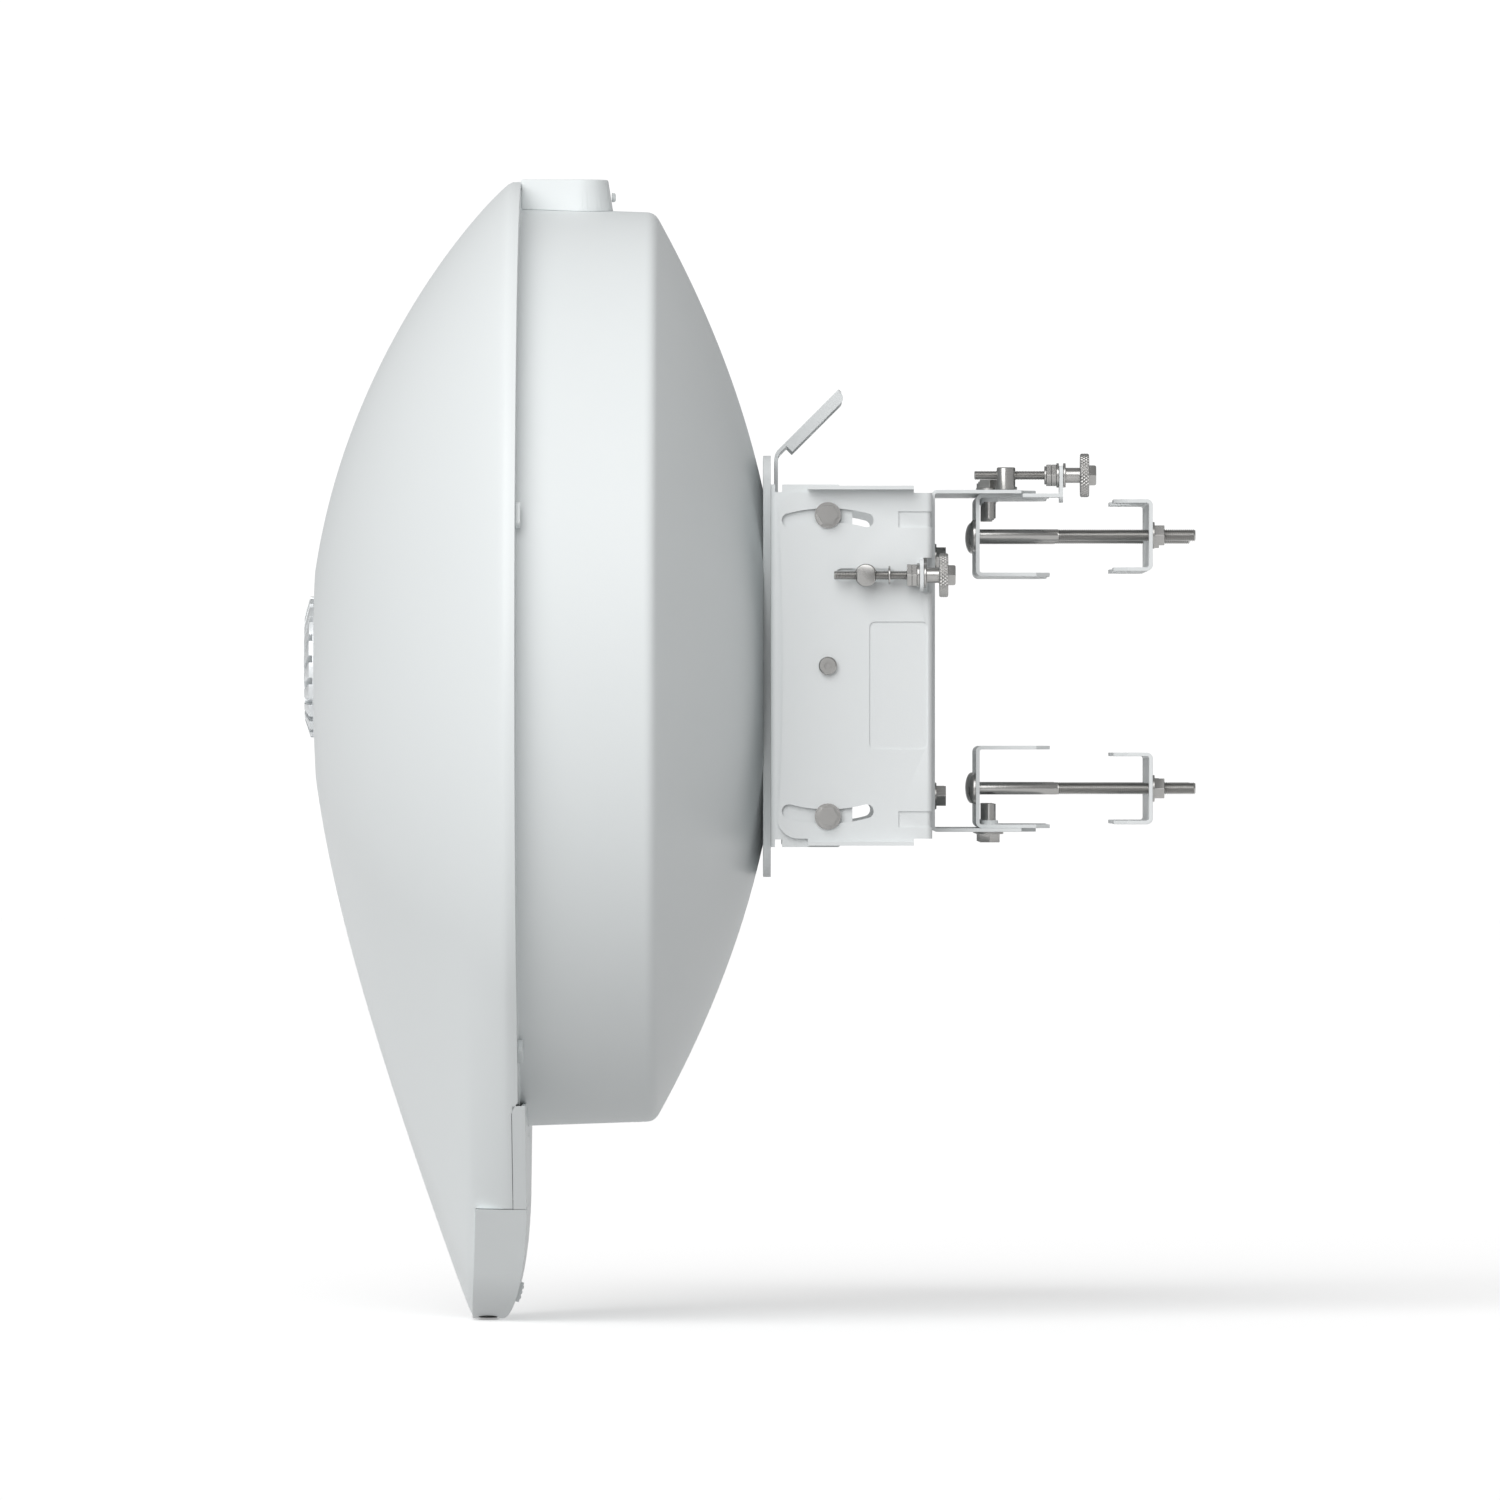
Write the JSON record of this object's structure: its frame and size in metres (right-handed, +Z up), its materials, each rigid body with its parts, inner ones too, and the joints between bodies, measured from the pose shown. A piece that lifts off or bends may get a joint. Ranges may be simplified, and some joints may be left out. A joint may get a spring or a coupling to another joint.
{
  "type": "outdoor wireless bridge",
  "caption": "Round dish antenna under a domed radome with a radio chin, on a toothed pole clamp with fine screws for azimuth and elevation.",
  "frame": {"origin": "on the axis of the pole that the jaws grip, at boresight height", "axes": "+Z up along the pole, -Y along the boresight out of the radome, +X towards the side that carries the fine screws"},
  "size_m": [0.6409, 0.5858, 0.751],
  "materials": {
    "white_plastic": "fine matt, UV-stable white",
    "painted_dish": "matt white powder coat on spun aluminium",
    "coated_steel": "light grey powder coat on steel sheet",
    "stainless": "plain stainless steel",
    "cast_aluminium": "bead-blasted casting",
    "dark_plastic": "moulded",
    "circuit_board": "solder mask",
    "plated_shield": "tin plate",
    "seal_rubber": "moulded rubber"
  },
  "bodies": {
    "pole_clamp": {"upper_front_jaw": "coated_steel", "lower_front_jaw": "coated_steel", "upper_carriage_bolts": "stainless", "lower_carriage_bolts": "stainless", "azimuth_pivot_bolts": "stainless", "azimuth_clamp_bolts": "stainless"},
    "azimuth_frame": {"pan_yoke": "coated_steel", "pan_bracket": "coated_steel", "yoke_bolts": "stainless", "elevation_pivot_bolts": "stainless"},
    "dish_head": {"radome_shell": "white_plastic", "lobe_back_cover": "white_plastic", "gps_housing": "white_plastic", "gps_knob": "white_plastic", "rim_latches": "white_plastic", "reflector_drum": "painted_dish", "feed_heat_sink": "cast_aluminium", "feed_horn": "cast_aluminium", "feed_housing": "dark_plastic", "feed_board": "circuit_board", "main_board": "circuit_board", "dc_jack": "dark_plastic", "rj45_jack": "plated_shield", "sfp_cage": "plated_shield", "mounting_plate": "coated_steel", "tilt_bracket": "coated_steel", "hoist_handle": "coated_steel", "hub_bolts": "stainless", "handle_bolts": "stainless", "elevation_clamp_bolts": "stainless"},
    "port_door": {"port_cover": "white_plastic", "cable_seal": "seal_rubber"},
    "port_latch": {"port_cover_latch": "white_plastic"},
    "upper_rear_clamp": {"upper_rear_jaw": "coated_steel", "upper_clamp_nuts": "stainless"},
    "lower_rear_clamp": {"lower_rear_jaw": "coated_steel", "lower_clamp_nuts": "stainless"},
    "elevation_adjuster": {"elevation_screw": "stainless", "elevation_clip": "stainless", "elevation_jam_nuts": "stainless", "elevation_washers": "stainless", "elevation_sleeve": "stainless", "elevation_wheel": "stainless"},
    "elevation_traveller": {"elevation_nut": "stainless"},
    "azimuth_adjuster": {"azimuth_screw": "stainless", "azimuth_clip": "stainless", "azimuth_jam_nuts": "stainless", "azimuth_washers": "stainless", "azimuth_sleeve": "stainless", "azimuth_wheel": "stainless"},
    "azimuth_traveller": {"azimuth_nut": "stainless"}
  },
  "joints": [
    {"name": "azimuth_swing", "type": "hinge", "parent": "pole_clamp", "child": "azimuth_frame", "pos_m": [0, -0.0614, 0], "axis": [0, 0, 1], "range_deg": [-10, 10]},
    {"name": "elevation_tilt", "type": "hinge", "parent": "azimuth_frame", "child": "dish_head", "pos_m": [0, -0.168, 0], "axis": [1, 0, 0], "range_deg": [-8, 14]},
    {"name": "port_cover_slide", "type": "slide", "parent": "dish_head", "child": "port_door", "axis": [0, 0, -1], "range_m": [0, 0.06]},
    {"name": "port_latch_press", "type": "slide", "parent": "port_door", "child": "port_latch", "axis": [0, -0.9629, 0.27], "range_m": [0, 0.0015], "stiffness_N_per_m": 800},
    {"name": "upper_jaw_slide", "type": "slide", "parent": "pole_clamp", "child": "upper_rear_clamp", "axis": [0, 1, 0], "range_m": [-0.033, 0.018]},
    {"name": "lower_jaw_slide", "type": "slide", "parent": "pole_clamp", "child": "lower_rear_clamp", "axis": [0, 1, 0], "range_m": [-0.033, 0.018]},
    {"name": "elevation_nut_travel", "type": "slide", "parent": "azimuth_frame", "child": "elevation_traveller", "axis": [0, 1, 0], "range_m": [-0.0145, 0.0083]},
    {"name": "elevation_screw_spin", "type": "hinge", "parent": "azimuth_frame", "child": "elevation_adjuster", "pos_m": [0.1595, -0.107, 0.0588], "axis": [0, 1, 0], "range_deg": [-5175, 2958]},
    {"name": "azimuth_nut_travel", "type": "slide", "parent": "pole_clamp", "child": "azimuth_traveller", "axis": [0, 1, 0], "range_m": [-0.0152, 0.0152]},
    {"name": "azimuth_screw_spin", "type": "hinge", "parent": "pole_clamp", "child": "azimuth_adjuster", "pos_m": [0.086, -0.015, 0.125], "axis": [0, 1, 0], "range_deg": [-5404, 5404]}
  ],
  "couplings": [
    {"joint": "elevation_nut_travel", "follows": "elevation_tilt", "m_per_rad": -0.0588},
    {"joint": "elevation_screw_spin", "follows": "elevation_tilt", "ratio": -369.45},
    {"joint": "azimuth_nut_travel", "follows": "azimuth_swing", "m_per_rad": 0.086},
    {"joint": "azimuth_screw_spin", "follows": "azimuth_swing", "ratio": 540.35}
  ]
}
